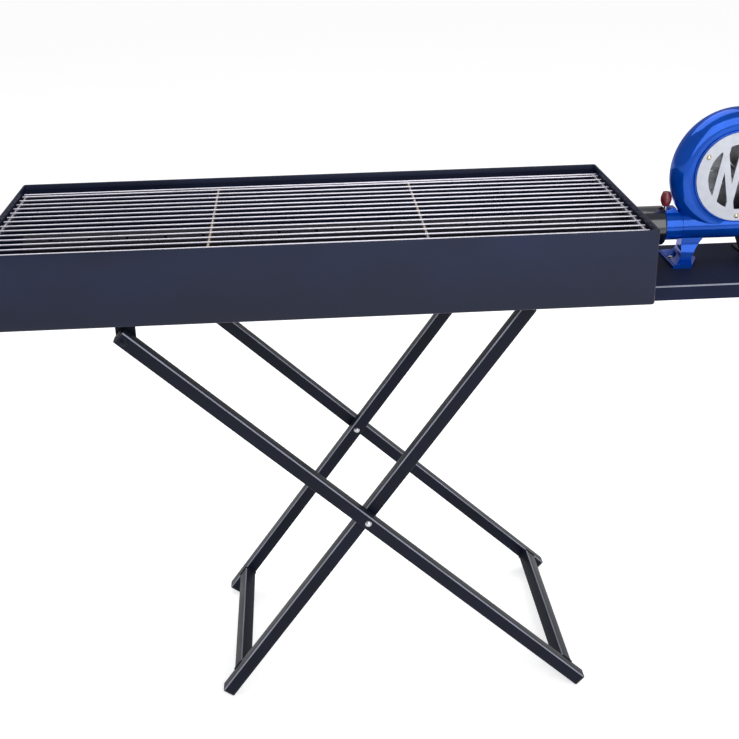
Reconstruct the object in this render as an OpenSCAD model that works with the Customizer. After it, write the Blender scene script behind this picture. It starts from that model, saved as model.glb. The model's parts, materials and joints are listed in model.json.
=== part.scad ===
// Folding charcoal forge: a long sheet-metal fire tray with a lift-off wire grate, crossed
// square-tube legs that fold flat under it, and an electric centrifugal blower that feeds air
// through a throttled pipe into a perforated tuyere.
// Millimetres, +Z up, X along the tray, -Y is the side with the blower's inlet.
// The origin is on the floor, under the middle of the whole object.

/* [Tray] */
// Outside length of the fire tray
tray_l = 1000; // [700:10:1400]
// Outside width of the fire tray
tray_w = 404; // [340:2:560]
// Height of the tray's walls
tray_h = 117; // [105:1:180]
// Sheet thickness of the tray and the shelf
sheet = 2; // [1.5:0.5:3]
// Height of the tray's rim above the floor
rim_h = 822; // [700:1:1000]

/* [Grate] */
// Diameter of the long grate bars
bar_d = 3.2; // [2.5:0.1:5]
// Diameter of the cross rods under the bars
rod_d = 4.6; // [4:0.1:7]
// Number of evenly spaced bars
bar_count = 14; // [8:1:20]
// Distance from the tray's walls to the outermost bars
grate_margin = 34; // [28:1:50]
// Distance from the rim down to the top of the bars
grate_drop = 8.5; // [6:0.5:14]

/* [Air supply] */
// Outside diameter of the pipe between the blower and the tray
pipe_d = 64; // [58:1:66]
// Wall of that pipe
pipe_wall = 3; // [2:0.5:4]
// Length of pipe that stands out of the tray
pipe_out = 65; // [45:1:120]
// Outside diameter of the perforated tuyere inside the tray
tuyere_d = 48; // [40:1:54]
// Wall of the tuyere
tuyere_wall = 2; // [1.5:0.5:3]
// Spacing of the tuyere's air holes
air_hole_pitch = 60; // [40:5:120]
// Diameter of the tuyere's air holes
air_hole_d = 5; // [3:0.5:7]

/* [Blower] */
// Radius from the blower's axis to the middle of its round scroll
scroll_r = 83; // [78:1:90]
// Radius of the scroll's round section
scroll_tube_r = 24; // [23:0.5:27]
// Wall of the cast scroll
cast_wall = 3; // [2:0.5:3]
// Outside diameter of the outlet neck
neck_d = 46.6; // [44:0.2:47]
// Height of the blower's axis above the shelf
blower_h = 145; // [140:1:170]
// Length of the throttle collar beyond the pipe
collar_l = 24; // [20:1:30]
// Length of the neck from the collar to under the blower's axis
neck_l = 89.5; // [80:0.5:120]
// Outside diameter of the throttle collar
collar_d = 49; // [47.5:0.5:50]
// Radius of the inlet guard plate
guard_r = 72; // [68:1:74]
// Radius of the inlet eye
eye_r = 54; // [46:1:58]
// Radius of the motor's housing
motor_r = 48; // [44:1:56]
// Length of the motor's housing
motor_l = 62; // [50:1:80]

/* [Shelf] */
// Distance that the blower shelf reaches beyond the tray
shelf_reach = 320; // [300:5:420]
// Depth of the shelf, front to back
shelf_d = 208; // [190:2:240]
// Distance from the tray's front wall to the shelf's front edge
shelf_inset = 80; // [70:1:90]
// Height of the shelf's turned-down edges
shelf_edge = 24; // [16:1:36]

/* [Legs] */
// Side of the square leg tube
leg_t = 22; // [18:1:30]
// Wall of the leg tube
leg_wall = 1.5; // [1:0.5:2.5]
// Slope of the outer frame's legs, from the horizontal
outer_angle = 43; // [40:0.5:46]
// Slope of the inner frame's legs, from the horizontal
inner_angle = 53.8; // [51:0.1:56]
// Height of the middle pivots above the floor
pivot_h = 346; // [300:1:380]
// Distance along X from the tray's middle to the middle pivots
pivot_x_off = 62; // [40:1:80]
// Distance from the tray's front face back to the outer legs
leg_inset = 9; // [8:1:20]
// Gap between the outer and the inner legs
leg_gap = 2; // [1.6:0.1:4]
// Diameter of the middle and top pivots
pivot_d = 8; // [6:1:10]
// Distance from the tray's underside down to the top pivots
hinge_drop = 27; // [24:1:34]

/* [Hidden] */
$fn = 64;

// Clearances
run_gap = 0.05;      // radial, a pin in the hole that turns on it
slip_gap = 0.1;      // radial, a bolt or a tube in its hole
part_gap = 0.3;      // between faces of bodies that move apart
weld = 0.4;          // how far a welded rod sinks into its neighbour

// Tray
tray_x = -shelf_reach / 2;
wall_x = tray_x + tray_l / 2;
tray_z = rim_h - tray_h;

// Grate
bar_z = rim_h - grate_drop - bar_d / 2;
rod_z = bar_z - bar_d / 2 - rod_d / 2 + weld;
bar_y0 = -tray_w / 2 + grate_margin;
bar_pitch = (tray_w - 2 * grate_margin - 13.4) / (bar_count - 1);
bar_ys = concat([for (i = [0 : bar_count - 1]) bar_y0 + i * bar_pitch], [-bar_y0]);
bar_half_l = tray_l / 2 - sheet - 4;
rod_overhang = 8;
rod_end_inset = 4;
rod_xs = [for (s = [-1, -1 / 3, 1 / 3, 1]) tray_x + s * (bar_half_l - rod_end_inset)];
rod_half_l = -bar_y0 + rod_overhang;
ledge_w = 12;
ledge_z = rod_z - rod_d / 2 - part_gap;

// Air supply and blower
pipe_end_x = wall_x + pipe_out;
seam_x = pipe_end_x + collar_l;
spindle_x = pipe_end_x + 3.2;
boss_top = collar_d / 2 + 6;
knob_z = max(boss_top, pipe_d / 2) + part_gap + 0.2;
knob_r = 9;
knob_h = 23.5;

// How far the scroll reaches back towards the tray at the height of the knob's top
function scroll_reach(ring, tube, top) = sqrt((ring + tube) * (ring + tube) - (ring - top) * (ring - top));

// A larger scroll or a higher knob moves the blower away, so that the knob stays clear of it
knob_room = scroll_reach(scroll_r, scroll_tube_r, knob_z + knob_h) - scroll_reach(83, 24, 56);
blower_x = seam_x + neck_l + knob_room;
blower_z = tray_z + blower_h;
air_z = blower_z - scroll_r;
spigot_l = 18;
neck_bore_r = neck_d / 2 - cast_wall;
collar_bore_r = neck_bore_r + 0.4;
seat_r = guard_r + 3;
face_y = scroll_tube_r + 0.5;
face_wall = 2.5;
guard_t = 2.5;
guard_ring = 11;
screw_r = guard_r - 8;
screw_angles = [29, 149, 269];
shaft_r = 5;
bell_t = 10;
cover_l = 28;
stand_t = 3;
motor_y = face_y + stand_t;
housing_y = motor_y + bell_t;
rear_y = housing_y + motor_l;
cover_y = rear_y + bell_t;
spindle_r = 3;

// Foot of the blower
foot_t = 5;
foot_x0 = seam_x - 13.5;
foot_x1 = foot_x0 + 49;
foot_half_y = 42;
foot_front_l = 31;
foot_bolt_d = 8;
foot_bolts_xy = [[foot_x0 + 9, 0], [foot_x0 + 34, 21]];

// Motor stand
stand_x0 = blower_x + 32;
stand_x1 = blower_x + 76;
stand_foot = 42;
stand_bolt_d = 6;
stand_bolts_xy = [for (x = [stand_x0 + 11, stand_x1 - 11]) [x, face_y + stand_foot - 12]];
motor_screw_r = motor_r - 6;

// Shelf
shelf_y0 = -tray_w / 2 + shelf_inset;
shelf_lap = 40;
shelf_bolt_d = 6;
shelf_bolts_xy = [for (y = [0.15, 0.85]) for (x = [12, 28]) [wall_x - x, shelf_y0 + y * shelf_d]];

// Legs
pivot_x = tray_x + pivot_x_off;
hinge_z = tray_z - hinge_drop;
hinge_dist = (hinge_z - pivot_h) / sin(outer_angle);
cap_t = 3;
cap_plug = 6;
outer_top = hinge_dist + 14;
outer_foot = (pivot_h - leg_t / 2 * cos(outer_angle)) / sin(outer_angle);
inner_foot = (pivot_h - leg_t / 2 * cos(inner_angle)) / sin(inner_angle);
inner_top = (tray_z - part_gap - leg_t / 2 * cos(inner_angle) - pivot_h) / sin(inner_angle);
foot_bar_inset = 38;
outer_y = tray_w / 2 - leg_inset - leg_t / 2;
inner_y = outer_y - leg_t - leg_gap;
hinge_x = pivot_x - hinge_dist * cos(outer_angle);
lug_t = 3;
lug_w = 30;
head_h = 3.2;
nut_h = 6;

// Colours
black_paint = [0.21, 0.23, 0.29];
leg_paint = [0.15, 0.17, 0.22];
blue_enamel = [0.05, 0.27, 0.66];
bright_wire = [0.82, 0.81, 0.84];
zinc = [0.76, 0.77, 0.79];

// ---- Helpers -------------------------------------------------------------------------------

// A round tube or rod along X, from x0 to x1
module rod_x(x0, x1, r) {
    translate([x0, 0, 0]) rotate([0, 90, 0]) cylinder(h = x1 - x0, r = r);
}

// A round rod along Y, from y0 to y1
module rod_y(y0, y1, r) {
    translate([0, y1, 0]) rotate([90, 0, 0]) cylinder(h = y1 - y0, r = r);
}

// The blower's own frame: its axis at the origin, x along the tray, y up, z towards the front
module at_blower() {
    translate([blower_x, 0, blower_z]) rotate([90, 0, 0]) children();
}

// The frames of the two pairs of legs: x runs along the leg, the middle pivot at the origin
module at_outer() {
    translate([pivot_x, 0, pivot_h]) rotate([0, outer_angle, 0]) children();
}
module at_inner() {
    translate([pivot_x, 0, pivot_h]) rotate([0, -inner_angle, 0]) children();
}

// A square tube along X
module square_tube(x0, x1) {
    difference() {
        translate([x0, -leg_t / 2, -leg_t / 2]) cube([x1 - x0, leg_t, leg_t]);
        translate([x0 - 1, -leg_t / 2 + leg_wall, -leg_t / 2 + leg_wall])
            cube([x1 - x0 + 2, leg_t - 2 * leg_wall, leg_t - 2 * leg_wall]);
    }
}

// A square tube along Y between two legs
module cross_bar(half_l) {
    rotate([0, 0, 90]) square_tube(-half_l, half_l);
}

// A moulded cap with its plug in the tube's end; it faces +X
module end_cap() {
    core = leg_t - 2 * leg_wall - 2 * slip_gap;
    translate([-cap_t, -leg_t / 2, -leg_t / 2]) cube([cap_t, leg_t, leg_t]);
    translate([-cap_t - cap_plug, -core / 2, -core / 2]) cube([cap_plug, core, core]);
}

// A round-headed fastener: its shank runs down from z = 0, and its head stands on z = 0
module dome_bolt(d, l, head_r, head) {
    ball_r = (head_r * head_r + head * head) / (2 * head);
    translate([0, 0, -l]) cylinder(h = l, d = d);
    intersection() {
        cylinder(h = head, r = head_r);
        translate([0, 0, head - ball_r]) sphere(r = ball_r, $fn = 96);
    }
}

// A hexagon nut that stands on z = 0
module hex_nut(d, h) {
    difference() {
        cylinder(h = h, r = d * 0.95, $fn = 6);
        translate([0, 0, -1]) cylinder(h = h + 2, d = d);
    }
}

// ---- Tray ----------------------------------------------------------------------------------

module fire_tray() {
    color(black_paint) difference() {
        translate([tray_x - tray_l / 2, -tray_w / 2, tray_z]) cube([tray_l, tray_w, tray_h]);
        translate([tray_x - tray_l / 2 + sheet, -tray_w / 2 + sheet, tray_z + sheet])
            cube([tray_l - 2 * sheet, tray_w - 2 * sheet, tray_h]);
        translate([0, 0, air_z]) rod_x(wall_x - 2 * sheet, wall_x + sheet, pipe_d / 2);
        for (p = shelf_bolts_xy)
            translate([p[0], p[1], tray_z - 1]) cylinder(h = sheet + 2, d = shelf_bolt_d);
    }
}

// Angle ledges under the grate's end rods, and tabs under the ends of its middle rods
module grate_ledges() {
    end_x = tray_l / 2 - sheet;
    tab_in = tray_w / 2 - sheet - rod_half_l + 6;
    color(black_paint) {
        for (s = [-1, 1]) {
            translate([tray_x + s * (end_x - ledge_w / 2) - ledge_w / 2, -rod_half_l, ledge_z - sheet])
                cube([ledge_w, 2 * rod_half_l, sheet]);
            translate([tray_x + s * (end_x - sheet / 2) - sheet / 2, -rod_half_l, ledge_z - sheet - 8])
                cube([sheet, 2 * rod_half_l, 8]);
        }
        for (x = [rod_xs[1], rod_xs[2]])
            for (s = [-1, 1])
                translate([x - ledge_w / 2, s * (tray_w / 2 - sheet - tab_in / 2) - tab_in / 2,
                    ledge_z - sheet]) cube([ledge_w, tab_in, sheet]);
    }
}

module hinge_lugs() {
    inner_face = outer_y - leg_t / 2 - part_gap;
    color(leg_paint) for (s = [-1, 1]) difference() {
        union() {
            translate([hinge_x, s * (inner_face - lug_t / 2), hinge_z])
                rod_y(-lug_t / 2, lug_t / 2, lug_w / 2);
            translate([hinge_x - lug_w / 2, s * (inner_face - lug_t / 2) - lug_t / 2, hinge_z])
                cube([lug_w, lug_t, hinge_drop]);
            translate([hinge_x - lug_w / 2, s * (inner_face - 10) - 10, tray_z - lug_t])
                cube([lug_w, 20, lug_t]);
        }
        translate([hinge_x, s * inner_face, hinge_z]) rod_y(-12, 12, pivot_d / 2);
    }
}

module hinge_pins() {
    inner_face = outer_y - leg_t / 2 - part_gap - lug_t;
    shank = leg_t + lug_t + 2 * part_gap;
    color(leg_paint) for (s = [-1, 1])
        translate([hinge_x, s * (outer_y + leg_t / 2 + part_gap), hinge_z])
            rotate([-90 * s, 0, 0]) dome_bolt(pivot_d, shank, 7, head_h);
}

// Stops that the inner frame's top leans against, under the tray's floor
module rest_brackets() {
    rest_l = 58;
    rest_h = 11;
    stop_x = pivot_x + (tray_z - rest_h - pivot_h) / tan(inner_angle)
        - leg_t / 2 / sin(inner_angle) - part_gap;
    color(leg_paint) for (s = [-1, 1])
        translate([stop_x - rest_l, s * inner_y - leg_t / 2, tray_z - rest_h]) difference() {
            cube([rest_l, leg_t, rest_h]);
            translate([-1, sheet, -1]) cube([rest_l - 2, leg_t - 2 * sheet, rest_h - sheet + 1]);
        }
}

// ---- Grate ---------------------------------------------------------------------------------

module grate_bars() {
    color(bright_wire) for (y = bar_ys)
        translate([tray_x, y, bar_z]) rod_x(-bar_half_l, bar_half_l, bar_d / 2);
}

module grate_cross_rods() {
    color(bright_wire) for (x = rod_xs)
        translate([x, 0, rod_z]) rod_y(-rod_half_l, rod_half_l, rod_d / 2);
}

// ---- Air supply ----------------------------------------------------------------------------

tuyere_x0 = tray_x - tray_l / 2 + 40;
tuyere_x1 = wall_x - sheet;

module tuyere() {
    hole_count = floor((tuyere_x1 - tuyere_x0 - 80) / air_hole_pitch);
    color(black_paint) translate([0, 0, air_z]) difference() {
        rod_x(tuyere_x0, tuyere_x1, tuyere_d / 2);
        rod_x(tuyere_x0 - 1, tuyere_x1 + 1, tuyere_d / 2 - tuyere_wall);
        for (i = [0 : hole_count])
            for (a = [-40, 40])
                translate([tuyere_x0 + 40 + i * air_hole_pitch, 0, 0]) rotate([a, 0, 0])
                    cylinder(h = tuyere_d, d = air_hole_d);
    }
}

module tuyere_cap() {
    color(black_paint) translate([0, 0, air_z]) {
        rod_x(tuyere_x0 - 3, tuyere_x0, tuyere_d / 2);
        rod_x(tuyere_x0, tuyere_x0 + 10, tuyere_d / 2 - tuyere_wall - slip_gap);
    }
}

// Its top is cut flat to clear the grate's ledge
module tuyere_flange() {
    flange_t = 3;
    color(black_paint) translate([0, 0, air_z]) difference() {
        rod_x(tuyere_x1 - flange_t, tuyere_x1, pipe_d / 2 + 8);
        rod_x(tuyere_x1 - flange_t - 1, tuyere_x1 + 1, tuyere_d / 2);
        translate([tuyere_x1 - flange_t - 1, -pipe_d, ledge_z - sheet - 8 - part_gap - air_z])
            cube([flange_t + 2, 2 * pipe_d, pipe_d]);
    }
}

module air_pipe() {
    color(black_paint) translate([0, 0, air_z]) difference() {
        rod_x(tuyere_x1, pipe_end_x, pipe_d / 2);
        rod_x(tuyere_x1 - 1, pipe_end_x + 1, pipe_d / 2 - pipe_wall);
    }
}

// Rubber sleeve that seals the collar's spigot in the wider pipe
module pipe_sleeve() {
    color([0.1, 0.1, 0.11]) translate([0, 0, air_z]) difference() {
        rod_x(pipe_end_x - spigot_l - 2, pipe_end_x - 0.5, pipe_d / 2 - pipe_wall);
        rod_x(pipe_end_x - spigot_l - 3, pipe_end_x, collar_d / 2);
    }
}

// ---- Shelf ---------------------------------------------------------------------------------

module blower_shelf() {
    top_l = shelf_reach + shelf_lap;
    color(black_paint) difference() {
        union() {
            translate([wall_x - shelf_lap, shelf_y0, tray_z - sheet]) cube([top_l, shelf_d, sheet]);
            for (y = [shelf_y0, shelf_y0 + shelf_d - sheet])
                translate([wall_x - shelf_lap, y, tray_z - shelf_edge])
                    cube([top_l, sheet, shelf_edge - sheet]);
            translate([wall_x + shelf_reach - sheet, shelf_y0 + sheet, tray_z - shelf_edge])
                cube([sheet, shelf_d - 2 * sheet, shelf_edge - sheet]);
        }
        for (p = shelf_bolts_xy)
            translate([p[0], p[1], tray_z - 5]) cylinder(h = 10, d = shelf_bolt_d);
        for (p = foot_bolts_xy)
            translate([p[0], p[1], tray_z - 5]) cylinder(h = 10, d = foot_bolt_d);
        for (p = stand_bolts_xy)
            translate([p[0], p[1], tray_z - 5]) cylinder(h = 10, d = stand_bolt_d);
    }
}

module shelf_bolts() {
    color(zinc) for (p = shelf_bolts_xy)
        translate([p[0], p[1], tray_z + sheet]) dome_bolt(shelf_bolt_d, 2 * sheet + 6, 6.5, 3);
}

module shelf_nuts() {
    color(zinc) for (p = shelf_bolts_xy)
        translate([p[0], p[1], tray_z - sheet - 5]) hex_nut(shelf_bolt_d, 5);
}

// ---- Legs ----------------------------------------------------------------------------------

module outer_leg(side) {
    color(leg_paint) difference() {
        at_outer() translate([0, side * outer_y, 0]) square_tube(-outer_top + cap_t, outer_foot - cap_t);
        translate([pivot_x, side * outer_y, pivot_h]) rod_y(-leg_t, leg_t, pivot_d / 2 + slip_gap);
        translate([hinge_x, side * outer_y, hinge_z]) rod_y(-leg_t, leg_t, pivot_d / 2 + run_gap);
    }
}
module outer_leg_front() { outer_leg(-1); }
module outer_leg_back() { outer_leg(1); }

module outer_foot_bar() {
    color(leg_paint) at_outer() translate([outer_foot - foot_bar_inset, 0, 0])
        cross_bar(outer_y - leg_t / 2);
}

module outer_end_caps() {
    color([0.07, 0.07, 0.08]) at_outer() for (s = [-1, 1]) {
        translate([outer_foot, s * outer_y, 0]) end_cap();
        translate([-outer_top, s * outer_y, 0]) mirror([1, 0, 0]) end_cap();
    }
}

module inner_leg(side) {
    color(leg_paint) difference() {
        at_inner() translate([0, side * inner_y, 0]) square_tube(-inner_foot + cap_t, inner_top - cap_t);
        translate([pivot_x, side * inner_y, pivot_h]) rod_y(-leg_t, leg_t, pivot_d / 2 + run_gap);
    }
}
module inner_leg_front() { inner_leg(-1); }
module inner_leg_back() { inner_leg(1); }

module inner_foot_bar() {
    color(leg_paint) at_inner() translate([-inner_foot + foot_bar_inset + 8, 0, 0])
        cross_bar(inner_y - leg_t / 2);
}

module inner_end_caps() {
    color([0.07, 0.07, 0.08]) at_inner() for (s = [-1, 1]) {
        translate([inner_top, s * inner_y, 0]) end_cap();
        translate([-inner_foot, s * inner_y, 0]) mirror([1, 0, 0]) end_cap();
    }
}

// Both middle bolts point backwards, so each has its round head on its front side
pivot_stack = 2 * leg_t + leg_gap;
front_head_y = -outer_y - leg_t / 2 - part_gap;
back_head_y = inner_y - leg_t / 2 - part_gap;

module pivot_bolts() {
    color(zinc) for (y = [front_head_y, back_head_y])
        translate([pivot_x, y, pivot_h]) rotate([90, 0, 0])
            dome_bolt(pivot_d, pivot_stack + 2 * part_gap + nut_h, 5.6, head_h);
}

module pivot_washers() {
    gap_y = (outer_y + inner_y) / 2;
    washer_t = leg_gap - 2 * part_gap;
    color(zinc) for (s = [-1, 1])
        translate([pivot_x, s * gap_y, pivot_h]) difference() {
            rod_y(-washer_t / 2, washer_t / 2, 9);
            rod_y(-washer_t, washer_t, pivot_d / 2);
        }
}

module pivot_nuts() {
    color(zinc) for (y = [front_head_y, back_head_y])
        translate([pivot_x, y + pivot_stack + 2 * part_gap, pivot_h]) rotate([-90, 0, 0])
            hex_nut(pivot_d, nut_h);
}

// ---- Blower --------------------------------------------------------------------------------

// The scroll and its neck as one solid; grow is negative for the hollow inside it
module scroll_solid(tube_r, seat, half_face, neck_r, neck_from) {
    rotate_extrude($fn = 128) union() {
        translate([scroll_r, 0]) circle(r = tube_r);
        translate([0, -half_face]) square([seat, 2 * half_face]);
    }
    translate([0, -scroll_r, 0]) rod_x(neck_from, 0, neck_r);
}

module volute() {
    difference() {
        scroll_solid(scroll_tube_r, seat_r, face_y, neck_d / 2, seam_x - blower_x);
        scroll_solid(scroll_tube_r - cast_wall, seat_r - 3, face_y - face_wall, neck_bore_r,
            seam_x - blower_x - 1);
    }
}

// Half of the space around the blower, in front of (1) or behind (-1) its joint
module half_space(side) {
    size = 2 * (scroll_r + scroll_tube_r) + 10;
    translate([-size / 2, -size / 2, side > 0 ? 0 : -size]) cube([size, size, size]);
}

module volute_front() {
    color(blue_enamel) at_blower() difference() {
        intersection() {
            volute();
            half_space(1);
        }
        cylinder(h = 2 * face_y, r = eye_r);
        for (a = screw_angles)
            rotate([0, 0, a]) translate([screw_r, 0, 0]) cylinder(h = 2 * face_y, d = 4);
    }
}

module volute_rear() {
    color(blue_enamel) at_blower() difference() {
        intersection() {
            volute();
            half_space(-1);
        }
        translate([0, 0, -2 * face_y]) cylinder(h = 2 * face_y, r = 14);
        for (a = [45 : 90 : 315])
            rotate([0, 0, a]) translate([motor_screw_r, 0, -2 * face_y])
                cylinder(h = 2 * face_y, d = 5);
    }
}

// Base plate and flared pedestal, cast under the neck; its right side runs straight up to the neck
module blower_foot() {
    pedestal_h = air_z - neck_d / 2 - tray_z + 4;
    flare_r = 30;
    side_r = 17;
    top_half_y = 12;
    color(blue_enamel) difference() {
        union() {
            translate([0, 0, tray_z]) linear_extrude(foot_t)
                polygon([[foot_x0, -foot_half_y], [foot_x0 + foot_front_l, -foot_half_y],
                    [foot_x1, -4], [foot_x1, 4], [foot_x0 + foot_front_l, foot_half_y],
                    [foot_x0, foot_half_y]]);
            intersection() {
                translate([0, foot_half_y, tray_z + foot_t]) rotate([90, 0, 0])
                    linear_extrude(2 * foot_half_y) difference() {
                        polygon([[foot_x0 + 3, 0], [foot_x0 + foot_front_l, 0],
                            [foot_x0 + foot_front_l + 29, pedestal_h], [foot_x0 + 3, pedestal_h]]);
                        translate([foot_x0 + 3, side_r + 1]) circle(r = side_r);
                        translate([foot_x0 + 2, side_r + 1]) square([side_r + 1, pedestal_h]);
                    }
                translate([foot_x0, 0, tray_z + foot_t]) rotate([90, 0, 90])
                    linear_extrude(foot_front_l + 30) difference() {
                        translate([-foot_half_y, 0]) square([2 * foot_half_y, pedestal_h]);
                        for (s = [-1, 1])
                            translate([s * (top_half_y + flare_r), flare_r + 1]) circle(r = flare_r);
                        for (s = [-1, 1])
                            translate([s * (top_half_y + flare_r) - flare_r, flare_r + 1])
                                square([2 * flare_r, pedestal_h]);
                    }
            }
        }
        translate([0, 0, air_z]) rod_x(foot_x0 - 1, foot_x0 + foot_front_l + 31, neck_d / 2);
        for (p = foot_bolts_xy) {
            translate([p[0], p[1], tray_z - 1]) cylinder(h = foot_t + 2, d = foot_bolt_d);
            translate([p[0], p[1], tray_z + foot_t]) cylinder(h = pedestal_h, r = 8);
        }
    }
}

module foot_bolts() {
    color(zinc) {
        for (p = foot_bolts_xy)
            translate([p[0], p[1], tray_z + foot_t])
                dome_bolt(foot_bolt_d, foot_t + sheet + 7, 6.5, 4);
        for (p = stand_bolts_xy)
            translate([p[0], p[1], tray_z + stand_t])
                dome_bolt(stand_bolt_d, stand_t + sheet + 6, 5.5, 3);
    }
}

module foot_nuts() {
    color(zinc) {
        for (p = foot_bolts_xy)
            translate([p[0], p[1], tray_z - sheet - 6]) hex_nut(foot_bolt_d, 6);
        for (p = stand_bolts_xy)
            translate([p[0], p[1], tray_z - sheet - 5]) hex_nut(stand_bolt_d, 5);
    }
}

// Flat ring with a zig-zag of ribs across the eye
rib_w = 10;
rib_lean = 10;
rib_xs = [-34, -21, -7, 7, 21, 34];

module inlet_guard() {
    color([0.84, 0.86, 0.89]) at_blower() translate([0, 0, face_y]) difference() {
        union() {
            difference() {
                cylinder(h = guard_t, r = guard_r);
                translate([0, 0, -1]) cylinder(h = guard_t + 2, r = guard_r - guard_ring - 8);
            }
            intersection() {
                cylinder(h = guard_t, r = guard_r - 4);
                for (i = [0 : len(rib_xs) - 1])
                    translate([rib_xs[i], 0, 0]) rotate([0, 0, i % 2 == 0 ? -rib_lean : rib_lean])
                        translate([-rib_w / 2, -guard_r, 0]) cube([rib_w, 2 * guard_r, guard_t]);
            }
        }
        for (a = screw_angles)
            rotate([0, 0, a]) translate([screw_r, 0, -1]) cylinder(h = guard_t + 2, d = 4);
    }
}

module guard_screws() {
    color([0.72, 0.55, 0.35]) at_blower() for (a = screw_angles)
        rotate([0, 0, a]) translate([screw_r, 0, face_y + guard_t]) dome_bolt(4, 9, 4, 1.8);
}

// Collar with the throttle's boss on top; its spigot goes into the pipe
module damper_collar() {
    boss_w = 18;
    color(blue_enamel) translate([0, 0, air_z]) difference() {
        union() {
            rod_x(pipe_end_x - spigot_l, seam_x, collar_d / 2);
            translate([0, boss_w / 2, 0]) rotate([90, 0, 0]) linear_extrude(boss_w)
                polygon([[pipe_end_x, 10], [pipe_end_x, collar_d / 2 - 1],
                    [pipe_end_x + 10, boss_top], [pipe_end_x + 18, boss_top],
                    [seam_x, collar_d / 2 - 3], [seam_x, 10]]);
        }
        rod_x(pipe_end_x - spigot_l - 1, seam_x + 1, collar_bore_r);
        translate([spindle_x, 0, 0]) cylinder(h = boss_top + 1, r = spindle_r + run_gap);
        translate([spindle_x, 0, -collar_d / 2 + 1]) cylinder(h = collar_d / 2, r = spindle_r + run_gap);
    }
}

module damper_spindle() {
    color(zinc) translate([spindle_x, 0, air_z - collar_d / 2 + 1.5])
        cylinder(h = collar_d / 2 + knob_z + knob_h - 6.8, r = spindle_r);
}

module damper_disc() {
    disc_t = 1.6;
    color(zinc) translate([spindle_x, 0, air_z])
        rod_y(-disc_t / 2, disc_t / 2, neck_bore_r - 0.6);
}

module damper_knob() {
    color([0.45, 0.12, 0.16]) translate([spindle_x, 0, air_z + knob_z]) difference() {
        rotate_extrude($fn = 96) intersection() {
            square([knob_r, knob_h]);
            translate([-knob_h * 0.45, knob_h / 2]) circle(r = knob_r + knob_h * 0.45, $fn = 128);
        }
        translate([0, 0, -1]) cylinder(h = knob_h - 4, r = spindle_r);
    }
}

// Plate clamped between scroll and motor, with a leg to the shelf
module motor_stand() {
    hole_r = 14;
    top_r = motor_r;
    color(black_paint) difference() {
        union() {
            at_blower() translate([0, 0, -face_y - stand_t]) linear_extrude(stand_t) {
                circle(r = top_r);
                polygon([[-10, -motor_r + 8], [36, -20], [stand_x1 - blower_x, -blower_h],
                    [stand_x0 - blower_x, -blower_h]]);
            }
            translate([stand_x0, face_y, tray_z]) cube([stand_x1 - stand_x0, stand_foot, stand_t]);
        }
        at_blower() translate([0, 0, -2 * face_y]) cylinder(h = 2 * face_y, r = hole_r);
        at_blower() for (a = [45 : 90 : 315])
            rotate([0, 0, a]) translate([motor_screw_r, 0, -2 * face_y]) cylinder(h = 2 * face_y, d = 5);
        for (p = stand_bolts_xy)
            translate([p[0], p[1], tray_z - 1]) cylinder(h = stand_t + 2, d = stand_bolt_d);
    }
}

// ---- Motor ---------------------------------------------------------------------------------

// A turned shell behind the blower: its front face at y0, its length l
module at_motor(y0) {
    at_blower() translate([0, 0, -y0]) mirror([0, 0, 1]) children();
}

module motor_front_bell() {
    color([0.3, 0.31, 0.33]) at_motor(motor_y) difference() {
        cylinder(h = bell_t, r = motor_r);
        translate([0, 0, -1]) cylinder(h = bell_t + 2, r = shaft_r + 1);
        translate([0, 0, 3]) cylinder(h = bell_t, r = 11);
        for (a = [45 : 90 : 315])
            rotate([0, 0, a]) translate([motor_screw_r, 0, -1]) cylinder(h = bell_t + 2, d = 5);
    }
}

module motor_screws() {
    color(zinc) at_motor(housing_y) for (a = [45 : 90 : 315])
        rotate([0, 0, a]) translate([motor_screw_r, 0, -bell_t - stand_t - face_wall - 1])
            cylinder(h = bell_t + stand_t + face_wall + 1, d = 5);
}

module motor_housing() {
    color([0.3, 0.31, 0.33]) at_motor(housing_y) difference() {
        union() {
            cylinder(h = motor_l, r = motor_r);
            for (a = [0 : 15 : 345])
                if (a < 60 || a > 120)
                    rotate([0, 0, a]) translate([motor_r - 2, -1, 4]) cube([7, 2, motor_l - 8]);
        }
        translate([0, 0, -1]) cylinder(h = motor_l + 2, r = motor_r - 3);
    }
}

module motor_rear_bell() {
    color([0.3, 0.31, 0.33]) at_motor(rear_y) difference() {
        cylinder(h = bell_t, r = motor_r);
        translate([0, 0, -1]) cylinder(h = bell_t + 2, r = shaft_r + 1);
        translate([0, 0, -3]) cylinder(h = bell_t, r = 11);
    }
}

module stator_core() {
    color([0.55, 0.45, 0.4]) at_motor(housing_y + 10) difference() {
        cylinder(h = motor_l - 20, r = motor_r - 3);
        translate([0, 0, -1]) cylinder(h = motor_l, r = 28);
    }
}

module shaft_bearings() {
    bearing_w = 7;
    color(zinc) for (y = [housing_y - bearing_w, rear_y])
        at_motor(y) difference() {
            cylinder(h = bearing_w, r = 11);
            translate([0, 0, -1]) cylinder(h = bearing_w + 2, r = shaft_r + run_gap);
        }
}

module fan_cover() {
    cover_wall = 1.5;
    color([0.12, 0.12, 0.13]) at_motor(cover_y) difference() {
        cylinder(h = cover_l, r = motor_r);
        translate([0, 0, -1]) cylinder(h = cover_l + 1 - cover_wall, r = motor_r - cover_wall);
        for (a = [0 : 30 : 330])
            rotate([0, 0, a]) translate([14, -3, cover_l - 4]) cube([24, 6, 8]);
    }
}

box_w = 34;
box_l = 40;
box_h = 24;

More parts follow.
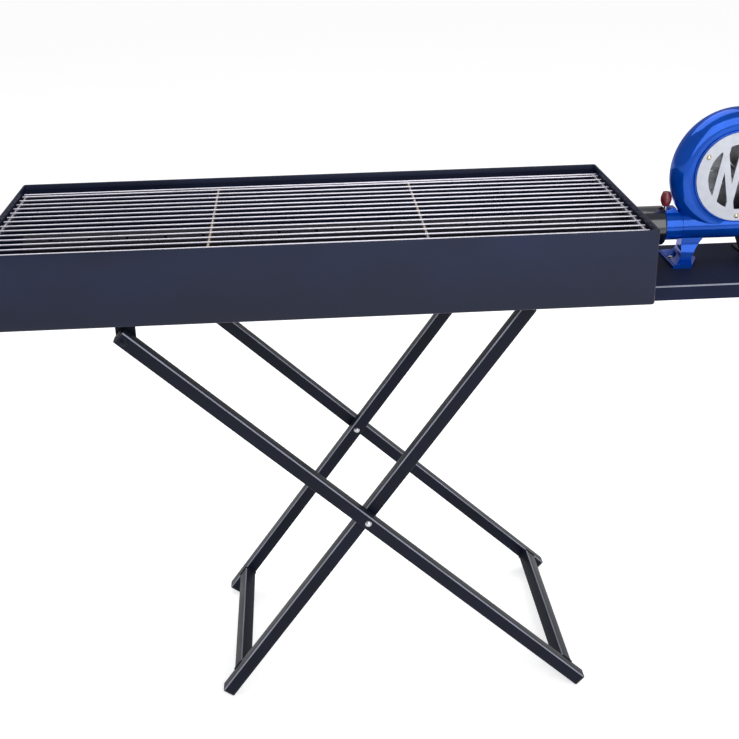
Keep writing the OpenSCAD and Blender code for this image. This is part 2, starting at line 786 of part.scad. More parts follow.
module terminal_box() {
    box_y = housing_y + motor_l / 2;
    color([0.12, 0.12, 0.13]) translate([blower_x - box_w / 2, box_y - box_l / 2, blower_z + motor_r - 4])
        difference() {
            cube([box_w, box_l, box_h]);
            translate([3, 3, 5]) cube([box_w - 6, box_l - 6, box_h - 8]);
            translate([box_w - 5, box_l / 2, box_h / 2]) rod_x(0, 10, 7);
            translate([box_w / 2, box_l / 2, -blower_z - motor_r + 4 + blower_z])
                rotate([90, 0, 0]) cylinder(h = 2 * box_l, r = motor_r, center = true);
        }
}

module cable_gland() {
    gland_x = blower_x + box_w / 2;
    color([0.1, 0.1, 0.11])
        translate([0, housing_y + motor_l / 2, blower_z + motor_r - 4 + box_h / 2]) difference() {
            union() {
                rod_x(gland_x - 3, gland_x, 7);
                translate([gland_x, 0, 0]) rotate([0, 90, 0]) cylinder(h = 6, r = 10, $fn = 6);
                rod_x(gland_x + 6, gland_x + 16, 8);
            }
            rod_x(gland_x - 4, gland_x + 17, 3.5);
        }
}

// ---- Rotor ---------------------------------------------------------------------------------

blade_count = 9;
impeller_r = seat_r - 5;
hub_y = 12;

module rotor_shaft() {
    color(zinc) at_motor(-hub_y - 8) cylinder(h = cover_y + cover_l - 8 + hub_y + 8, r = shaft_r);
}

module rotor_core() {
    color([0.5, 0.5, 0.52]) at_motor(housing_y + 10) difference() {
        cylinder(h = motor_l - 20, r = 27);
        translate([0, 0, -1]) cylinder(h = motor_l, r = shaft_r);
    }
}

module impeller() {
    plate_t = 2;
    blade_w = 2;
    blade_h = 26;
    color([0.62, 0.64, 0.67]) at_blower() difference() {
        union() {
            translate([0, 0, -hub_y - plate_t]) cylinder(h = plate_t, r = impeller_r);
            translate([0, 0, -hub_y]) cylinder(h = 2 * hub_y, r = 13);
            for (i = [0 : blade_count - 1])
                rotate([0, 0, i * 360 / blade_count]) translate([12, -blade_w / 2, -hub_y])
                    rotate([0, 0, 12]) cube([impeller_r - 16, blade_w, blade_h]);
        }
        translate([0, 0, -hub_y - plate_t - 1]) cylinder(h = 3 * hub_y, r = shaft_r);
    }
}

module impeller_nut() {
    color(zinc) at_blower() translate([0, 0, hub_y]) hex_nut(2 * shaft_r, 7);
}

module cooling_fan() {
    fan_r = motor_r - 8;
    plate_t = 2;
    color([0.12, 0.12, 0.13]) at_motor(cover_y + 5) difference() {
        union() {
            cylinder(h = 14, r = 12);
            cylinder(h = plate_t, r = fan_r);
            for (a = [0 : 60 : 300])
                rotate([0, 0, a]) translate([9, -1, plate_t / 2]) cube([fan_r - 12, 2, 11]);
        }
        translate([0, 0, -1]) cylinder(h = 16, r = shaft_r);
    }
}

// ---- The model -----------------------------------------------------------------------------

fire_tray();
grate_ledges();
tuyere();
tuyere_cap();
tuyere_flange();
air_pipe();
pipe_sleeve();
blower_shelf();
shelf_bolts();
shelf_nuts();
hinge_lugs();
hinge_pins();
rest_brackets();
grate_bars();
grate_cross_rods();
outer_leg_front();
outer_leg_back();
outer_foot_bar();
outer_end_caps();
pivot_bolts();
pivot_washers();
pivot_nuts();
inner_leg_front();
inner_leg_back();
inner_foot_bar();
inner_end_caps();
volute_front();
volute_rear();
blower_foot();
foot_bolts();
foot_nuts();
inlet_guard();
guard_screws();
damper_collar();
damper_spindle();
damper_disc();
damper_knob();
motor_stand();
motor_front_bell();
motor_housing();
motor_rear_bell();
motor_screws();
stator_core();
shaft_bearings();
fan_cover();
terminal_box();
cable_gland();
rotor_shaft();
rotor_core();
impeller();
impeller_nut();
cooling_fan();
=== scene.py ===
"""Finished look of a folding charcoal forge with an electric blower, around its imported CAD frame.

Every length is in metres, in the frame's own axes: X along the tray, -Y towards the blower's inlet,
Z up.
"""

import json
import math

import bmesh
import bpy
import numpy as np
from bpy.props import FloatProperty, FloatVectorProperty, IntProperty, PointerProperty
from mathutils import Matrix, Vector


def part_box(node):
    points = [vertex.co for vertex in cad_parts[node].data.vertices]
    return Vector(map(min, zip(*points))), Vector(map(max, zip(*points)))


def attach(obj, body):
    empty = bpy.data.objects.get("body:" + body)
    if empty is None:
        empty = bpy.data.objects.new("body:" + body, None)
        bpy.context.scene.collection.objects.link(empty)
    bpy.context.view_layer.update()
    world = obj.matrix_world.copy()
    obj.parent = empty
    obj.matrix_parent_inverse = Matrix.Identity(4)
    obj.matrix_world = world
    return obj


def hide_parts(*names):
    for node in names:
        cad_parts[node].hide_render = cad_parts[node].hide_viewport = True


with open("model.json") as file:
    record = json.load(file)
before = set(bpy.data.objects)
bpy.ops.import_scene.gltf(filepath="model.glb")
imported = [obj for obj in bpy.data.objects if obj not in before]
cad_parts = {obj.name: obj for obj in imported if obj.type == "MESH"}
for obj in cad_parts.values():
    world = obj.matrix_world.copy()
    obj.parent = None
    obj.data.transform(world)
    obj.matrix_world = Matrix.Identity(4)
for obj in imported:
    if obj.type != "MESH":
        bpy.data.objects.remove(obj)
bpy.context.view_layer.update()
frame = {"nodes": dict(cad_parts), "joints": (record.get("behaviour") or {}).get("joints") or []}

bl_info = {
    "name": "Folding Charcoal Forge",
    "version": (1, 0, 0),
    "blender": (4, 5, 0),
    "location": "3D View > Sidebar > Forge",
    "description": "Builds the visible surfaces and finishes of a folding charcoal forge",
    "category": "Add Mesh",
}

MM = 0.001
TURN = 2 * math.pi
X, Y, Z = np.eye(3)


def srgb(code):
    """Linear RGBA of an sRGB hex colour.

    c / 12.92 below 0.04045, else ((c + 0.055) / 1.055) to the power 2.4.
    """
    c = np.array([int(code[i : i + 2], 16) for i in (1, 3, 5)]) / 255
    low = c <= 0.04045
    return (*np.where(low, c / 12.92, ((c + 0.055) / 1.055) ** 2.4).tolist(), 1.0)


def size(name, default, note, low=0.0):
    """A length that a user may change, in metres."""
    return FloatProperty(
        name=name, description=note, default=default, min=low, unit="LENGTH", precision=4
    )


def turn(name, default, note):
    """An angle that a user may change, in radians."""
    return FloatProperty(name=name, description=note, default=default, unit="ROTATION", precision=4)


def colour(name, code, note):
    """A colour that a user may change, from its sRGB hex value."""
    return FloatVectorProperty(
        name=name, description=note, default=srgb(code), size=4, min=0, max=1, subtype="COLOR"
    )


# ---- What can be changed ---------------------------------------------------------------------


class ForgeSizes(bpy.types.PropertyGroup):
    """Sizes of the details that the frame leaves plain."""

    sheet: size("Sheet thickness", 2 * MM, "Thickness of the tray's and the shelf's sheet metal")
    tray_corner: size("Tray corner", 5 * MM, "Radius of the tray's upright corners")
    tray_bend: size("Tray bend", 4 * MM, "Radius of the bend between the tray's floor and walls")
    hem_width: size("Hem width", 3.6 * MM, "Thickness of the folded hem along the rim")
    hem_height: size("Hem height", 9 * MM, "Height of the folded hem along the rim")
    wall_bow: size("Wall bow", 0.9 * MM, "How far the long walls bow inwards between bends")
    bar_bow: size("Bar bow", 0.5 * MM, "How far a grate bar strays from a straight line")
    bead: size("Weld bead", 1.6 * MM, "Radius of the weld beads")
    tube_corner: size("Tube corner", 2.4 * MM, "Outside corner radius of the square leg tube")
    cap_dome: size("Cap dome", 3 * MM, "Height of the end caps above the tube's end")
    pipe_round: size("Pipe edge", 3.5 * MM, "Radius of the rounded edge at the air pipe's end")
    scroll_tube: size("Scroll tube radius", 24 * MM, "Radius of the scroll's round section")
    cast_wall: size("Casting wall", 3 * MM, "Wall thickness of the blower's casting")
    neck_radius: size("Neck radius", 23.3 * MM, "Outside radius of the blower's outlet neck")
    seat_radius: size("Seat radius", 75 * MM, "Radius of the flat seat under the inlet guard")
    eye_radius: size("Inlet eye radius", 54 * MM, "Radius of the blower's air inlet")
    knob_round: size("Knob edge", 1.6 * MM, "Radius of the throttle knob's edges")
    around: IntProperty(
        name="Roundness", description="Steps round a turned piece", default=96, min=24, max=192
    )


class ForgeColours(bpy.types.PropertyGroup):
    """Colours of the finishes."""

    tray: colour("Tray paint", "#131b36", "Heat-resistant paint on the tray and the shelf")
    legs: colour("Leg paint", "#0d1220", "Paint on the folding legs")
    shelf: colour("Shelf paint", "#1a1f36", "Paint on the flat of the blower shelf")
    # Pale colour of the painted highlights along bends and upper corners, where the lights would
    # glint
    edges: colour("Rubbed edges", "#8d90a0", "Paint rubbed thin along bends and corners")
    # Pale grey mixed into faces that look up: settled ashes together with a painted sheen from the
    # light above
    dust_and_sheen: colour("Ash dust", "#7c7c82", "Fine ash that settles on faces that look up")
    wire: colour("Bright wire", "#d6d3de", "Bright plated grate wire")
    rods: colour("Warm rods", "#d6c193", "Plated rods tinted by heat")
    enamel: colour("Blue enamel", "#0046b0", "Glossy enamel on the blower")
    guard: colour("Guard paint", "#c4c8d3", "Pale paint on the inlet guard")
    knob: colour("Knob red", "#6a1a26", "Moulded throttle knob")
    zinc: colour("Zinc", "#c6c8cd", "Zinc-plated fasteners")
    passivated: colour("Passivated screws", "#d6cdb4", "Yellow-passivated screws")
    casting: colour("Grey casting", "#5b5e63", "Cast motor housing")
    alloy: colour("Impeller alloy", "#b4b6b9", "Cast and turned impeller")
    plastic: colour("Black plastic", "#17181a", "Moulded caps, covers and boxes")
    copper: colour("Copper windings", "#a5622f", "Lacquered copper wire")
    floor: colour("Floor", "#f6f6f7", "Plain pale floor")


class ForgeStage(bpy.types.PropertyGroup):
    """The camera."""

    lens: FloatProperty(
        name="Lens", description="Focal length on a 36 mm sensor", default=58.041, unit="CAMERA"
    )
    camera_x: size("Camera X", -0.1844, "Place of the camera along the tray", -10)
    camera_y: size("Camera Y", -1.8484, "Place of the camera in front of the tray", -10)
    camera_z: size("Camera Z", 1.3401, "Height of the camera")
    yaw: turn("Yaw", 0.0564, "Turn of the camera towards +X")
    pitch: turn("Pitch", 0.4113, "Tilt of the camera below the horizon")
    roll: turn("Roll", -0.0224, "Lean of the camera")


# ---- Shapes: every one is a grid of points (rows, columns, 3) ----------------------------------


def rect_loops(half, radius, arc=6, steps=(1, 1)):
    """Rounded rectangles, one row each.

    A point is corner sign * (half size - radius) + radius * direction of the corner's arc. Along a
    side, sign and direction go straight from one corner to the next, in `steps` steps.
    """
    ends = np.array([[1, 1], [-1, 1], [-1, -1], [1, -1]], float)
    signs, ways = [], []
    for k in range(4):
        t = np.linspace(0, math.pi / 2, arc + 1) + k * math.pi / 2
        way = np.stack([np.cos(t), np.sin(t)], 1)
        side = np.linspace(0, 1, steps[k % 2] + 1)[1:-1, None]
        here, there = ends[k], ends[(k + 1) % 4]
        signs += [np.repeat(here[None], arc + 1, 0), here + side * (there - here)]
        ways += [way, np.repeat(way[-1:], len(side), 0)]
    sign, way = np.concatenate(signs), np.concatenate(ways)
    radius = np.asarray(radius, float).reshape(-1, 1, 1)
    return sign * (np.asarray(half, float).reshape(-1, 1, 2) - radius) + way * radius


def bend(start, stop, radius, centre, steps=5):
    """Points of an arc: centre + radius * (cos t, sin t), t from start to stop in degrees."""
    t = np.radians(np.linspace(start, stop, steps + 1))
    return np.stack([centre[0] + radius * np.cos(t), centre[1] + radius * np.sin(t)], 1)


def pan(centre, half, section, corner, steps):
    """A folded sheet-metal pan.

    Each row of the section (inset, height, bow) is one rounded rectangle of that inset. The long
    walls bow inwards by bow times a sum of two sine waves along them.
    """
    inset, height, bow = section.T
    radius = np.maximum(corner - inset, 0.8 * MM)
    flat = rect_loops(np.asarray(half)[None] - inset[:, None], radius, 5, steps)
    along = flat[..., 0] / half[0]
    wave = 0.5 + 0.28 * np.sin(5.1 * along + 0.7) + 0.22 * np.sin(11.3 * along + 2.0)
    flat[..., 1] *= 1 - bow[:, None] * wave / half[1]
    rise = np.broadcast_to(height[:, None], along.shape)
    return np.stack([centre[0] + flat[..., 0], centre[1] + flat[..., 1], rise], -1)


def turned(profile, origin, axis, around=64):
    """A surface of revolution: origin + axis * along + radius * (cos a * e1 + sin a * e2).

    A row of the profile is (along, radius).
    """
    e1 = np.cross(axis, Z if abs(axis[2]) < 0.9 else X)
    e2 = np.cross(axis, e1)
    a = np.linspace(0, TURN, around, endpoint=False)
    ring = np.cos(a)[:, None] * e1 + np.sin(a)[:, None] * e2
    profile = np.asarray(profile, float)
    return np.asarray(origin, float) + profile[:, None, :1] * axis + profile[:, None, 1:] * ring


def swept(path, across, up, loop):
    """A profile carried along a path: path point + across * loop's first + up * its second part."""
    loop = np.broadcast_to(loop, (len(path), *np.shape(loop)[-2:]))
    return path[:, None] + loop[..., :1] * across[:, None] + loop[..., 1:] * up[:, None]


def rod(start, stop, radius, around=12, bow=0.0, phase=0.0, steps=24):
    """A round wire with rounded ends.

    Its circles sit on a line that strays sideways by bow * sin(3 pi u + phase) * sin(pi u).
    """
    start, stop = np.asarray(start, float), np.asarray(stop, float)
    length = np.linalg.norm(stop - start)
    axis = (stop - start) / length
    edge = bend(180, 90, 0.6, (0.6, 0.4), 4) * radius
    rest = np.linspace(edge[-1, 0], length - edge[-1, 0], steps)[1:-1]
    s = np.concatenate([[0], edge[:, 0], rest, length - edge[::-1, 0], [length]])
    r = np.concatenate([[0], edge[:, 1], np.full(len(rest), radius), edge[::-1, 1], [0]])
    e1 = np.cross(axis, Z)
    u = s / length
    stray = bow * np.sin(3 * math.pi * u + phase) * np.sin(math.pi * u)
    line = start + s[:, None] * axis + stray[:, None] * e1
    a = np.linspace(0, TURN, around, endpoint=False)
    ring = r[:, None, None] * np.stack([np.cos(a), np.sin(a)], 1)
    return swept(line, np.broadcast_to(e1, line.shape), np.broadcast_to(Z, line.shape), ring)


def bead_ring(centre, across, up, half, corner, radius):
    """A weld bead round a square tube: a small rippled circle carried along a rounded square."""
    loop = rect_loops([[half, half]], [corner], 6, (10, 10))[0]
    ahead = np.roll(loop, -1, 0) - np.roll(loop, 1, 0)
    out = np.stack([ahead[:, 1], -ahead[:, 0]], 1) / np.linalg.norm(ahead, axis=1)[:, None]
    path = centre + loop[:, :1] * across + loop[:, 1:] * up
    normal = out[:, :1] * across + out[:, 1:] * up
    a = np.linspace(0, TURN, 10, endpoint=False)
    ripple = radius * (1 + 0.12 * np.sin(np.arange(len(loop)) * 2.1))[:, None, None]
    ring = ripple * np.stack([np.cos(a), np.sin(a)], 1)
    return swept(path, normal, np.broadcast_to(np.cross(across, up), path.shape), ring)


def square_tube(start, stop, up, half, corner):
    """A square tube with rounded corners from start to stop, closed at both ends."""
    path = np.stack([start, stop])
    axis = (path[1] - path[0]) / np.linalg.norm(path[1] - path[0])
    side = np.broadcast_to(np.cross(axis, up), path.shape)
    loop = rect_loops([[half, half]], [corner], 6)
    return swept(path, side, np.broadcast_to(up, path.shape), loop)


def blob(centres, radii, rings=6, around=10):
    """Small ellipsoids at many centres: centre + radii * (sin p cos a, sin p sin a, cos p)."""
    p = np.linspace(0, math.pi, rings + 1)[:, None]
    a = np.linspace(0, TURN, around, endpoint=False)[None]
    unit = np.stack([np.sin(p) * np.cos(a), np.sin(p) * np.sin(a), np.cos(p) + 0 * a], -1)
    return list(np.asarray(centres, float)[:, None, None] + unit * np.asarray(radii, float))


# ---- Reading the frame -------------------------------------------------------------------------


def points_of(node):
    """The corners of a CAD node's mesh as an array, in the frame's axes."""
    mesh = frame["nodes"][node].data
    co = np.empty(len(mesh.vertices) * 3, np.float32)
    mesh.vertices.foreach_get("co", co)
    return co.reshape(-1, 3).astype(float)


def box_of(node):
    """Lowest corner, highest corner and middle of a CAD node, as arrays."""
    low, high = (np.array(corner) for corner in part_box(node))
    return low, high, (low + high) / 2


def middles(node, axis):
    """The middles of a node's separate solids along one axis, found where a gap is over 1 mm."""
    values = np.sort(points_of(node)[:, axis])
    cuts = np.flatnonzero(np.diff(values) > MM)
    return (values[np.r_[0, cuts + 1]] + values[np.r_[cuts, len(values) - 1]]) / 2


def reach(node, origin, axis):
    """How far a node reaches along an axis from an origin, lowest and highest."""
    s = (points_of(node) - origin) @ axis
    return s.min(), s.max()


def joint(name):
    """A joint of the frame by name."""
    return next(j for j in frame["joints"] if j["name"] == name)


# ---- Putting meshes into the scene -------------------------------------------------------------


def grid_mesh(name, shells, wrap_rows=False):
    """Joins grids of points into one mesh.

    Quads lie between neighbours, columns close round, and each end row is closed by one face; with
    wrap_rows the last row joins the first instead.
    """
    corners, faces, base = [], [], 0
    for grid in shells:
        rows, cols = grid.shape[:2]
        number = base + np.arange(rows * cols).reshape(rows, cols)
        if wrap_rows:
            number = np.concatenate([number, number[:1]])
        side = np.concatenate([number, number[:, :1]], 1)
        quads = np.stack([side[:-1, :-1], side[:-1, 1:], side[1:, 1:], side[1:, :-1]], -1)
        faces += quads.reshape(-1, 4).tolist()
        if not wrap_rows:
            faces += [number[0, ::-1].tolist(), number[-1].tolist()]
        corners.append(grid.reshape(-1, 3))
        base += rows * cols
    mesh = bpy.data.meshes.new(name)
    mesh.from_pydata(np.concatenate(corners).tolist(), [], faces)
    return mesh


def cleaned(mesh, angle):
    """Merges doubled corners, turns faces outwards and marks edges sharper than angle degrees."""
    work = bmesh.new()
    work.from_mesh(mesh)
    bmesh.ops.remove_doubles(work, verts=work.verts, dist=0.002 * MM)
    bmesh.ops.recalc_face_normals(work, faces=work.faces)
    work.to_mesh(mesh)
    work.free()
    mesh.validate()
    mesh.polygons.foreach_set("use_smooth", [True] * len(mesh.polygons))
    mesh.set_sharp_from_angle(angle=math.radians(angle))
    return mesh


def placed(name, mesh, material, body, replaced=()):
    """Puts a mesh in the scene with its material and body, and hides the nodes it stands for."""
    obj = bpy.data.objects.new(name, mesh)
    bpy.context.scene.collection.objects.link(obj)
    mesh.materials.clear()
    mesh.materials.append(material)
    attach(obj, body)
    if replaced:
        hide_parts(*replaced)
    return obj


def piece(name, shells, material, body, replaced=(), angle=35, wrap_rows=False):
    """A new piece from grids of points."""
    mesh = cleaned(grid_mesh(name, shells, wrap_rows), angle)
    return placed(name, mesh, material, body, replaced)


def second(obj, material, chosen):
    """Gives a second material to the faces for which chosen(centres, normals) is true."""
    mesh = obj.data
    mesh.materials.append(material)
    table = np.empty((2, len(mesh.polygons) * 3), np.float32)
    mesh.polygons.foreach_get("center", table[0])
    mesh.polygons.foreach_get("normal", table[1])
    centres, normals = table.reshape(2, -1, 3)
    mesh.polygons.foreach_set("material_index", chosen(centres, normals).astype(np.int32))


def softened(name, node, width, material, body, segments=2):
    """A copy of a CAD node with its edges broken by a bevel, as pressing or casting leaves them."""
    mesh = frame["nodes"][node].data.copy()
    work = bmesh.new()
    work.from_mesh(mesh)
    bmesh.ops.remove_doubles(work, verts=work.verts, dist=0.002 * MM)
    bmesh.ops.dissolve_limit(work, angle_limit=math.radians(1), verts=work.verts, edges=work.edges)
    work.to_mesh(mesh)
    work.free()
    obj = placed(name, cleaned(mesh, 30), material, body, (node,))
    edge = obj.modifiers.new("Broken edges", "BEVEL")
    edge.width = width
    edge.segments = segments
    edge.limit_method = "ANGLE"
    edge.angle_limit = math.radians(35)
    edge.harden_normals = True
    edge.use_clamp_overlap = True
    return obj


def refinish(material, *nodes):
    """Gives CAD nodes whose shape is right a better material."""
    for node in nodes:
        mesh = frame["nodes"][node].data
        mesh.materials.clear()
        mesh.materials.append(material)


# ---- Finishes ----------------------------------------------------------------------------------


def add_node(tree, kind, settings=None, values=None, links=None):
    """Adds a node with its settings, the values of its free inputs and the others' sources."""
    node = tree.nodes.new(kind)
    for key, value in (settings or {}).items():
        setattr(node, key, value)
    for key, value in (values or {}).items():
        node.inputs[key].default_value = value
    for key, source in (links or {}).items():
        tree.links.new(source, node.inputs[key])
    return node


def shade(base, amount):
    """A colour made darker (below 1) or lighter (above 1)."""
    return (*(min(1.0, c * amount) for c in base[:3]), 1.0)


def finish(
    name, base, patch, grain, rough, contrast=(0.75, 1.25), bump=0.1,
    stretch=(1, 1, 1), tint=None, band=None, dust_and_sheen=None, **shader,
):
    """One finish: the colour wanders over patches, roughness and bump follow a finer grain.

    patch and grain are widths in metres, rough is the lowest and highest roughness, and contrast
    scales the two shades. band and the argument after it are (low, high, colour, strength): band
    mixes a colour in by a piece's height, and the other by how far the faces look up, which on the
    legs paints a sheen along with settled ashes. shader holds constants for the Principled
    shader's own sockets.
    """
    if name in bpy.data.materials:
        return bpy.data.materials[name]
    material = bpy.data.materials.new(name)
    material.use_nodes = True
    tree = material.node_tree
    out = tree.nodes["Principled BSDF"]
    coordinates = add_node(tree, "ShaderNodeTexCoord").outputs
    place, upward = coordinates["Object"], coordinates["Normal"]
    spread = add_node(tree, "ShaderNodeMapping", values={"Scale": stretch}, links={"Vector": place})
    wide, fine = (
        add_node(
            tree,
            "ShaderNodeTexNoise",
            values={"Scale": 1 / width, "Detail": detail, "Roughness": share},
            links={"Vector": source},
        ).outputs["Fac"]
        for width, detail, share, source in (
            (patch, 4.0, 0.55, place),
            (grain, 3.0, 0.6, spread.outputs[0]),
        )
    )
    ramp = add_node(tree, "ShaderNodeValToRGB", links={"Fac": wide})
    ends = ramp.color_ramp.elements
    ends[0].position, ends[1].position = 0.3, 0.7
    ends[0].color, ends[1].color = shade(tint or base, contrast[0]), shade(base, contrast[1])
    paint = ramp.outputs["Color"]
    for source, layer in ((place, band), (upward, dust_and_sheen)):
        if layer:
            low, high, tone, strength = layer
            height = add_node(tree, "ShaderNodeSeparateXYZ", links={"Vector": source}).outputs["Z"]
            span = {"From Min": low, "From Max": high, "To Max": strength}
            share = add_node(tree, "ShaderNodeMapRange", values=span, links={"Value": height})
            mix = add_node(tree, "ShaderNodeMix", {"data_type": "RGBA"})
            factor, under, over, mixed = mix.inputs[0], mix.inputs[6], mix.inputs[7], mix.outputs[2]
            tree.links.new(share.outputs[0], factor)
            tree.links.new(paint, under)
            over.default_value = tone
            paint = mixed
    tree.links.new(paint, out.inputs["Base Color"])
    both = add_node(
        tree, "ShaderNodeMath", {"operation": "MULTIPLY"}, links={0: wide, 1: fine}
    ).outputs[0]
    span = {"From Min": 0.15, "From Max": 0.4, "To Min": rough[0], "To Max": rough[1]}
    worn = add_node(tree, "ShaderNodeMapRange", values=span, links={"Value": both})
    tree.links.new(worn.outputs[0], out.inputs["Roughness"])
    depth = {"Strength": bump, "Distance": 0.3 * MM}
    relief = add_node(tree, "ShaderNodeBump", values=depth, links={"Height": fine})
    tree.links.new(relief.outputs[0], out.inputs["Normal"])
    for socket, value in shader.items():
        out.inputs[socket.replace("_", " ")].default_value = value
    return material


def colours():
    """The scene's forge colours."""
    return bpy.context.scene.forge_colours


def tray_paint():
    """Heat-resistant satin powder coat: orange peel 2 mm wide, clouds 150 mm, darker low down."""
    base = colours().tray
    darker = (0.79, 0.70, shade(base, 0.5), 0.8)
    return finish(
        "satin_powder_coat", base, 150 * MM, 2 * MM, (0.38, 0.52), (0.75, 1.3), 0.08,
        band=darker, Specular_IOR_Level=0.25,
    )


def pipe_paint():
    """Black enamel on the air pipe: glossier than the tray, so that it mirrors the lights."""
    return finish(
        "glossy_black_enamel", colours().legs, 40 * MM, 3 * MM, (0.16, 0.26), (0.8, 1.2), 0.03,
        Coat_Weight=0.8, Coat_Roughness=0.08,
    )


def shelf_paint():
    """The tray's powder coat, flatter and darker where soot and hands have dulled it."""
    return finish(
        "dulled_powder_coat", colours().shelf, 120 * MM, 2 * MM, (0.55, 0.68), (0.75, 1.25), 0.08,
        Specular_IOR_Level=0.08,
    )


def edge_highlight_paint():
    """Pale powder coat that paints the highlight along a bend, where the lights would glint."""
    return finish(
        "rubbed_powder_coat", colours().edges, 60 * MM, 1.5 * MM, (0.35, 0.5), (0.75, 1.15), 0.05
    )


def leg_paint():
    """Black powder coat on drawn tube; faces that look up are mixed towards pale grey, for settled
    ashes and a painted sheen from the light above.
    """
    ash_and_sheen = (0.35, 0.7, colours().dust_and_sheen, 0.05)
    return finish(
        "black_powder_coat", colours().legs, 90 * MM, 1.6 * MM, (0.36, 0.5), (0.75, 1.3), 0.06,
        dust_and_sheen=ash_and_sheen, Specular_IOR_Level=0.13,
    )


def bright_wire():
    """Nickel-plated drawn wire: near-white metal with draw marks along its length."""
    return finish(
        "nickel_plated_wire", colours().wire, 90 * MM, 2.5 * MM, (0.26, 0.34), (0.9, 1.0), 0.01,
        (0.1, 1, 1), Metallic=0.85,
    )


def warm_rods():
    """Nickel plate that heat has turned straw yellow in places."""
    return finish(
        "heat_tinted_nickel", colours().rods, 60 * MM, 2.5 * MM, (0.26, 0.38), (0.85, 1.0), 0.01,
        (1, 0.1, 1), shade(colours().wire, 0.9), Metallic=0.8,
    )


def burnt_steel():
    """Mild steel inside the fire: dark bluish scale with brownish patches, rough to the touch."""
    return finish(
        "heat_scaled_steel", srgb("#10121f"), 60 * MM, 1.5 * MM, (0.6, 0.8), (0.75, 1.2), 0.15,
        tint=srgb("#16131d"), Specular_IOR_Level=0.2,
    )


def blue_enamel():
    """Glossy stoving enamel on a sand casting: a clear top layer over a deep blue."""
    return finish(
        "blue_stoving_enamel", colours().enamel, 45 * MM, 4 * MM, (0.12, 0.17), (0.85, 1.15), 0.01,
        Metallic=0.4, Specular_Tint=srgb("#4fa8ff"), Coat_Weight=0.4, Coat_Roughness=0.02,
    )


def guard_paint():
    """Pale grey stoved paint on pressed steel: even, semi-matt, with a faint mottle."""
    return finish(
        "pale_grey_stoved_paint", colours().guard, 12 * MM, 1 * MM, (0.35, 0.5), (0.9, 1.04), 0.05
    )


def zinc_plate():
    """Bright zinc plating: slightly cloudy metal."""
    return finish(
        "bright_zinc_plate", colours().zinc, 6 * MM, 0.8 * MM, (0.22, 0.4), (0.8, 1.05), 0.06,
        Metallic=1.0,
    )


def yellow_passivation():
    """Yellow-passivated zinc: gold to straw, as on small screws."""
    return finish(
        "yellow_passivated_zinc", colours().passivated, 4 * MM, 0.8 * MM, (0.25, 0.4), (0.8, 1.1),
        0.05, Metallic=0.9,
    )


def red_plastic():
    """Moulded phenolic: deep red with a soft gloss."""
    return finish(
        "moulded_red_phenolic", colours().knob, 9 * MM, 1 * MM, (0.28, 0.4), (0.85, 1.15), 0.03,
        Coat_Weight=0.3,
    )


def black_plastic():
    """Moulded black nylon: fine spark-eroded texture 0.8 mm wide, semi-matt."""
    return finish(
        "moulded_black_nylon", colours().plastic, 20 * MM, 0.8 * MM, (0.42, 0.55), (0.85, 1.2), 0.12
    )


def rubber():
    """Moulded black rubber: matt."""
    return finish("moulded_rubber", srgb("#141414"), 15 * MM, 1 * MM, (0.65, 0.8), (0.9, 1.2), 0.08)


def grey_casting():
    """Die-cast aluminium under grey paint: sand-like skin 1.5 mm wide."""
    return finish(
        "painted_die_casting", colours().casting, 25 * MM, 1.5 * MM, (0.42, 0.58), (0.85, 1.15),
        0.15, Metallic=0.35,
    )


def cast_alloy():
    """Cast aluminium of the impeller: bright, slightly grainy metal."""
    return finish(
        "cast_aluminium", colours().alloy, 10 * MM, 1 * MM, (0.3, 0.45), (0.75, 1.1), 0.12,
        Metallic=0.95,
    )


def windings():
    """Lacquered copper wire and laminated steel seen end on: fine turns 1 mm apart."""
    return finish(
        "lacquered_copper", colours().copper, 8 * MM, 1 * MM, (0.3, 0.45), (0.7, 1.1), 0.3,
        Metallic=0.7,
    )


def floor_card():
    """Plain pale card on a light table: it glows a little, so that no shadow turns it grey."""
    return finish(
        "matt_white_floor", colours().floor, 900 * MM, 30 * MM, (0.8, 0.9), (0.99, 1.0), 0.0,
        Specular_IOR_Level=0.1, Emission_Color=srgb("#ffffff"), Emission_Strength=0.6,
    )


# ---- Pieces ------------------------------------------------------------------------------------


class FORGE_OT_tray(bpy.types.Operator):
    """Fire tray: a folded sheet-metal pan with a hemmed rim and walls that bow a little"""

    bl_idname = "forge.tray"
    bl_label = "Fire Tray"

    def execute(self, context):
        s = context.scene.forge_sizes
        low, high, mid = box_of("fire_tray")
        z0, z1, hem = low[2], high[2], s.hem_width / 2
        flat_margin = 4 * s.tray_bend
        outer = bend(270, 180, s.tray_bend, (s.tray_bend, z0 + s.tray_bend))
        inner = bend(180, 270, s.tray_bend, (s.sheet + s.tray_bend, z0 + s.sheet + s.tray_bend))
        top = bend(180, 0, hem, (hem, z1 - hem), 8)
        wall = np.linspace(outer[-1, 1], top[0, 1], 9)[1:-1]
        hem_z = z1 - s.hem_height
        hem_foot = np.array([[s.hem_width, hem_z], [s.sheet, hem_z - s.sheet / 2]])
        back = np.linspace(hem_foot[-1, 1], inner[0, 1], 8)[1:-1]
        rows = [
            [[flat_margin, z0]],
            outer,
            np.stack([0 * wall, wall], 1),
            top,
            hem_foot,
            np.stack([0 * back + s.sheet, back], 1),
            inner,
            [[s.sheet + flat_margin, z0 + s.sheet]],
        ]
        rows = np.concatenate(rows)
        rise = np.clip((rows[:, 1] - z0) / (z1 - z0), 0, 1)
        bow = s.wall_bow * np.sin(math.pi * rise)
        section = np.column_stack([rows, bow])
        shell = pan(mid, (high - low)[:2] / 2, section, s.tray_corner, (64, 20))
        piece("tray", [shell], tray_paint(), "firebox", ("fire_tray",))
        refinish(burnt_steel(), "grate_ledges", "tuyere", "tuyere_cap", "tuyere_flange")
        return {"FINISHED"}


